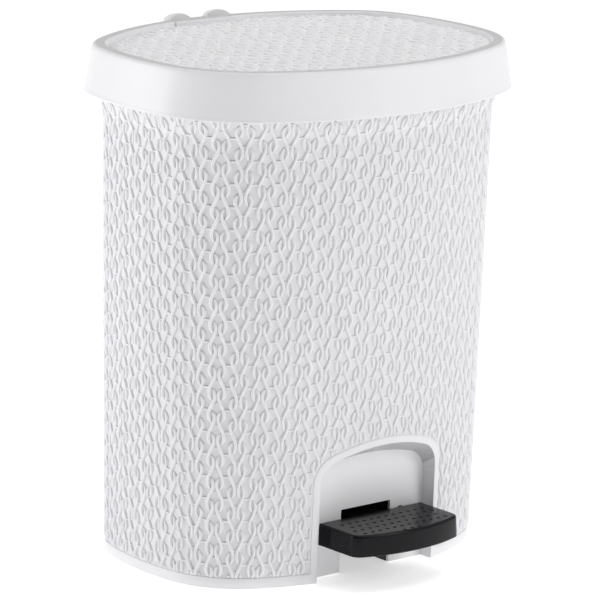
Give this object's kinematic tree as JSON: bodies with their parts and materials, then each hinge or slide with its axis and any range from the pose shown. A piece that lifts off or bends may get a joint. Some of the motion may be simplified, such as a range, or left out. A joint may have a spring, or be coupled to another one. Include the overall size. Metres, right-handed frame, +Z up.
{
  "type": "pedal trash can",
  "caption": "Oval pedal trash can: knit-textured shell, hinged lid raised by a front pedal through a lever and push rod, and a lift-out inner bucket with a wire bail.",
  "frame": {"origin": "on the floor, in the middle of the whole object's footprint; the YZ plane is the plane of symmetry and the oval plan is widest on the line y = 0", "axes": "+Z up, the pedal faces -Y, +X is to the right of someone facing the back wall from the pedal side"},
  "size_m": [0.3154, 0.2708, 0.3788],
  "materials": {
    "white_plastic": "satin",
    "black_plastic": "semi-gloss",
    "chassis_plastic": "satin",
    "bucket_plastic": "satin",
    "guide_plastic": "matte",
    "rubber": "matte",
    "clear_rubber": "matte",
    "steel": "zinc plated",
    "wire": "bright wire"
  },
  "bodies": {
    "shell": {"outer_shell": "white_plastic", "base_chassis": "chassis_plastic", "foot_front_left": "rubber", "foot_front_right": "rubber", "foot_back_left": "rubber", "foot_back_right": "rubber", "base_screws": "steel", "axle_cap_left": "chassis_plastic", "axle_cap_right": "chassis_plastic", "cap_screws": "steel", "rod_guide_lower": "guide_plastic", "rod_guide_upper": "guide_plastic", "guide_screws": "steel"},
    "pedal": {"pedal_lever": "black_plastic", "lever_axle": "steel"},
    "rod": {"push_rod": "steel", "rod_foot": "guide_plastic", "rod_cap": "guide_plastic"},
    "lid": {"lid": "white_plastic", "hinge_pin": "steel", "hinge_clips": "steel", "bumper_front_left": "clear_rubber", "bumper_front_right": "clear_rubber", "bumper_side_left": "clear_rubber", "bumper_side_right": "clear_rubber"},
    "bucket": {"bucket": "bucket_plastic"},
    "bail": {"bail": "wire", "bail_grip": "black_plastic"}
  },
  "joints": [
    {"name": "lid_hinge", "type": "hinge", "parent": "shell", "child": "lid", "pos_m": [0, 0.1215, 0.352], "axis": [-1, 0, 0], "range_deg": [0, 72]},
    {"name": "pedal_pivot", "type": "hinge", "parent": "shell", "child": "pedal", "pos_m": [0, -0.01, 0.03], "axis": [1, 0, 0], "range_deg": [0, 11.52]},
    {"name": "rod_slide", "type": "slide", "parent": "shell", "child": "rod", "axis": [0, 0, 1], "range_m": [0, 0.02265]},
    {"name": "bucket_lift", "type": "slide", "parent": "shell", "child": "bucket", "axis": [0, 0, 1], "range_m": [0, 0.01]},
    {"name": "bail_swing", "type": "hinge", "parent": "bucket", "child": "bail", "pos_m": [0, 0, 0.34055], "axis": [-1, 0, 0], "range_deg": [0, 8]}
  ],
  "couplings": [
    {"joint": "pedal_pivot", "follows": "lid_hinge", "ratio": 0.15995},
    {"joint": "rod_slide", "follows": "lid_hinge", "m_per_rad": 0.01802}
  ]
}
